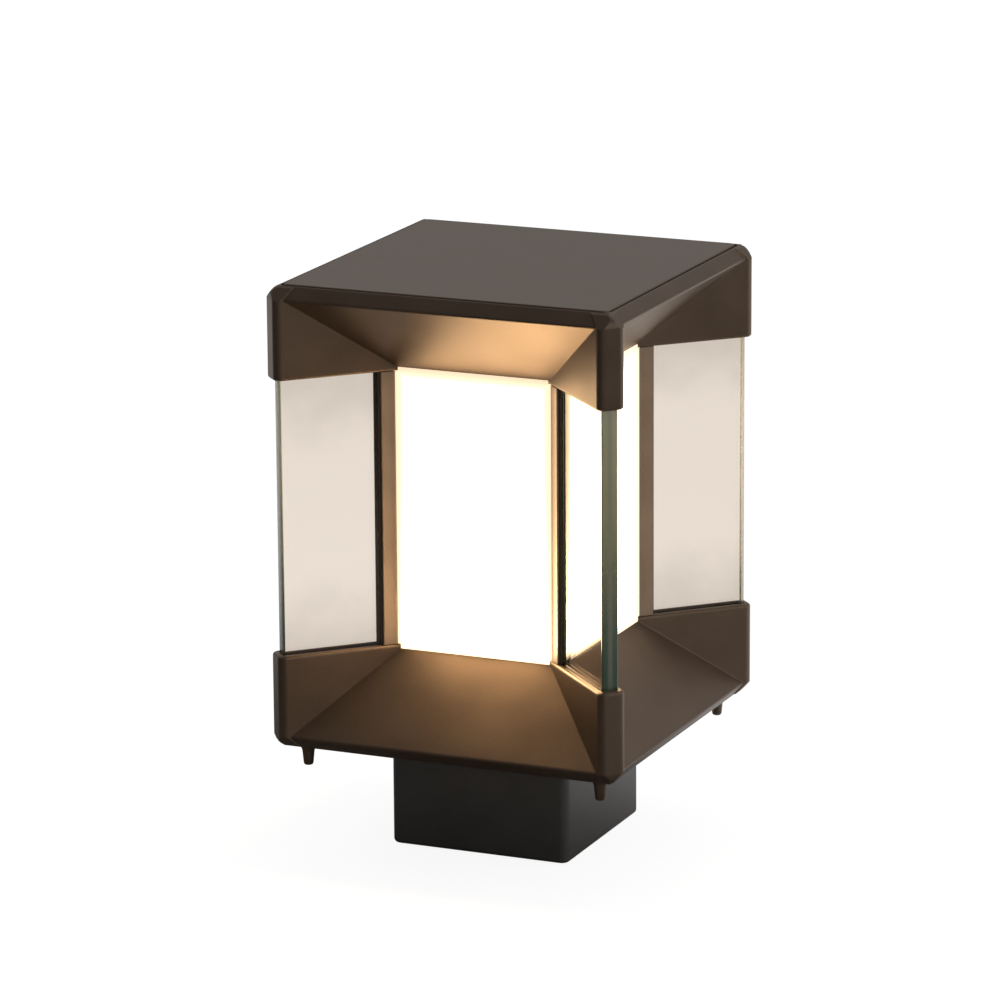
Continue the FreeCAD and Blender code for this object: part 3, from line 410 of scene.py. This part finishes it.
def stem_tube():
    """Rounded-square rings along a looped profile: up the outer wall from a rolled foot, and down inside."""
    roll, top_edge, least_corner = 2.4, 0.5, 1.5
    profile = [(roll - roll * s, roll - roll * c) for c, s in arc(0, 90, 7)]
    profile += [(0.0, STEM_HEIGHT - top_edge), (top_edge, STEM_HEIGHT)]
    profile += [(STEM_WALL, STEM_HEIGHT), (STEM_WALL, 0.0)]
    rings = []
    for inset, z in profile:
        half, corner_radius = STEM_HALF - inset, max(STEM_CORNER_R - inset, least_corner)
        rings.append(at_height(rounded_outline(half, half, corner_radius), z))
    piece("stem_tube", [lofted(np.array(rings), "joined")], "stem_coat", "lantern", "stem")


def cover_plate():
    """Rounded-square rings from the underside's rim, up the edge, over its roll and onto the flat top."""
    low, chamfer, roll, flat = TOP - COVER_THICKNESS, 0.4, 0.9, 0.6
    profile = [(2 * chamfer, low), (chamfer, low), (0.0, low + chamfer), (0.0, TOP - roll)]
    profile += [(roll - roll * c, TOP - roll + roll * s) for c, s in arc(15, 90, 6)]
    profile += [(roll + flat, TOP)]
    rings = [at_height(rounded_outline(COVER_HALF - inset, COVER_HALF - inset, COVER_CORNER_R), z)
             for inset, z in profile]
    piece("cover_plate", [lofted(np.array(rings))], "bronze_coat", "cover", "top_cover")


def turned_feet():
    """Circles stacked down each foot: radius falls from a flared root to a neck and ends in a round tip.

    The profile holds pairs of drop below the base and radius.
    """
    tip, roll, taper = 2.6, 1.1, 0.1
    profile = [(0.0, 4.5), (0.8, 4.45), (2.0, 4.2), (3.2, 3.75), (4.2, 3.42), (5.4, 3.26)]
    profile += [(FOOT_HEIGHT - roll, tip + taper)]
    profile += [(FOOT_HEIGHT - roll + roll * s, tip - roll + roll * c) for c, s in arc(10, 90, 7)]
    circle = arc(0, 360, 29)[:-1]
    rings = [at_height(r * circle + [FOOT_RADIUS, 0], STEM_HEIGHT - drop) for drop, r in profile[::-1]]
    feet = [lofted(turn(np.array(rings), angle)) for angle in CORNERS.values()]
    piece("turned_feet", feet, "bronze_coat", "lantern", "corner_feet")


def pane(corner):
    """Rectangles across the glass: the outline shrinks by the arris towards each face, with ground edges."""
    low, high = (end.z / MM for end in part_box("glass_pane_" + corner))
    arris, corner_radius = 0.7, 1.0
    steps = [(2.0 * arris, -GLASS_HALF)]
    steps += [(arris - arris * s, -GLASS_HALF + arris - arris * c) for c, s in arc(0, 90, 4)]
    steps += [(inset, -depth) for inset, depth in steps[::-1]]
    half_width, half_height = (GLASS_OUT - GLASS_IN) / 2, (high - low) / 2
    rings = []
    for inset, depth in steps:
        outline = rounded_outline(half_width - inset, half_height - inset, corner_radius, 4)
        outline += [(GLASS_OUT + GLASS_IN) / 2, (high + low) / 2]
        rings.append(np.column_stack([outline[:, 0], np.full(len(outline), -depth), outline[:, 1]]))
    shell = lofted(turn(np.array(rings), CORNERS[corner]))
    piece("clear_pane_" + corner, [shell], "clear_glass", "lantern", "glass_pane_" + corner, 20)


def edge_gasket(corner):
    """A channel's cross-section carried up the pane's inner edge: flat back and two walls with round lips."""
    low, high = (end.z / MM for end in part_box("glass_gasket_" + corner))
    play, chamfer, levels = 0.05, 0.4, 9
    outer, inner = GLASS_HALF + GASKET_WALL, GLASS_HALF + play
    bead = (outer - inner) / 2
    lip = [(GASKET_OUT - bead + bead * c, inner + bead * (1 + s)) for c, s in arc(90, -90, 9)]
    back = [(GASKET_IN, outer - chamfer), (GASKET_IN + chamfer, outer)]
    half = back + lip + [(GASKET_IN + GASKET_WALL, inner)]
    section = np.array(half + [(r, -t) for r, t in half[::-1]])
    rings = np.array([at_height(section, z) for z in np.linspace(low, high, levels)])
    shell = lofted(turn(rings, CORNERS[corner])[:, ::-1])
    piece("lipped_gasket_" + corner, [shell], "black_rubber", "lantern", "glass_gasket_" + corner)


stem_tube()
cover_plate()
turned_feet()
for corner_name in CORNERS:
    pane(corner_name)
    edge_gasket(corner_name)


# Stage, light and camera


def studio_floor():
    """A pale square that keeps the shadow, and shows white to the camera and through the glass.

    Gloss sees that white only behind the light. A strip on the right glows softly onto the light's side.
    """
    corners = [(-FLOOR_REACH, -FLOOR_REACH, 0), (FLOOR_REACH, -FLOOR_REACH, 0),
               (FLOOR_REACH, FLOOR_REACH, 0), (-FLOOR_REACH, FLOOR_REACH, 0)]
    mesh = bpy.data.meshes.new("studio_floor")
    mesh.from_pydata(corners, [], [(0, 1, 2, 3)])
    floor = bpy.data.objects.new("studio_floor", mesh)
    bpy.context.scene.collection.objects.link(floor)
    pale = Finish("pale_floor", Base_Color=(FLOOR_GREY, FLOOR_GREY, FLOOR_GREY, 1.0), Roughness=0.9,
                  Specular_IOR_Level=0.0, Emission_Color=(1.0, 1.0, 1.0, 1.0))
    axes = pale.axes()
    ray = pale.node("ShaderNodeLightPath").outputs
    seen = pale.math("MAXIMUM", ray["Is Camera Ray"], ray["Is Transmission Ray"])
    behind = pale.math("MULTIPLY", ray["Is Glossy Ray"], pale.spread(axes["Y"], -0.05, 0.25))
    white = pale.math("MULTIPLY", pale.math("MAXIMUM", seen, behind), FLOOR_WHITE)
    strip = pale.math("MULTIPLY", pale.spread(axes["X"], 0.1, 0.4),
                      pale.spread(axes["X"], 0.8, 0.45, 0.0, FLOOR_SIDE_GLOW))
    lighting = pale.math("MAXIMUM", ray["Is Diffuse Ray"], ray["Is Glossy Ray"])
    glow = pale.math("ADD", white, pale.math("MULTIPLY", lighting, strip))
    pale.link(glow, pale.shader.inputs["Emission Strength"])
    mesh.materials.append(pale.material)


def studio_world():
    """Soft light all round: dim in front, more from behind and above it, and most from low on the right.

    The camera, and what the glass lets through, see plain white instead.
    """
    world = bpy.data.worlds.new("studio")
    bpy.context.scene.world = world
    world.use_nodes = True
    studio = Nodes(world.node_tree, "Generated")
    axes = studio.axes()
    back = studio.spread(axes["Y"], -0.1, 0.7, 0.0, BACK_LIGHT)
    right = studio.spread(studio.math("SUBTRACT", axes["X"], axes["Z"]), 0.1, 0.9, 0.0, RIGHT_LIGHT)
    overhead = studio.math("MULTIPLY", studio.spread(axes["Z"], 0.15, 0.6, 0.0, OVERHEAD_LIGHT),
                           studio.spread(axes["Y"], -0.4, 0.4))
    light = studio.math("ADD", studio.math("ADD", studio.math("ADD", back, right), overhead), ROOM_LIGHT)
    ray = studio.node("ShaderNodeLightPath").outputs
    seen = studio.math("MAXIMUM", ray["Is Camera Ray"], ray["Is Transmission Ray"])
    mix = studio.node("ShaderNodeMix")
    studio.link(seen, mix.inputs["Factor"])
    studio.link(light, mix.inputs[2])
    mix.inputs[3].default_value = 1.0
    sky = world.node_tree.nodes["Background"]
    studio.link(mix.outputs[0], sky.inputs["Strength"])
    sky.inputs["Color"].default_value = (1.0, 1.0, 1.0, 1.0)


def camera():
    """The photograph's camera: back along its azimuth and elevation from the aim point, then rolled."""
    a, e, roll = CAMERA_AZIMUTH, CAMERA_ELEVATION, CAMERA_ROLL
    back = np.array([np.sin(a) * np.cos(e), -np.cos(a) * np.cos(e), np.sin(e)])
    right = np.array([np.cos(a), np.sin(a), 0.0])
    up = np.cross(back, right)
    aim = right * AIM_SIDEWAYS + [0, 0, AIM_HEIGHT]
    rolled_right = right * np.cos(roll) + up * np.sin(roll)
    rolled_up = up * np.cos(roll) - right * np.sin(roll)
    eye = (aim + back * CAMERA_DISTANCE) * MM
    lens = bpy.data.cameras.new("photo_camera")
    lens.sensor_fit = "HORIZONTAL"
    lens.sensor_width = SENSOR
    lens.lens = FOCAL_PIXELS / IMAGE_PIXELS * SENSOR
    lens.clip_end = 100.0
    view = bpy.data.objects.new("photo_camera", lens)
    stance = Matrix(np.stack([rolled_right, rolled_up, back], 1)).to_4x4()
    view.matrix_world = Matrix.Translation(Vector(eye)) @ stance
    bpy.context.scene.collection.objects.link(view)
    bpy.context.scene.camera = view


studio_floor()
studio_world()
camera()
bpy.context.scene.view_settings.view_transform = "Standard"
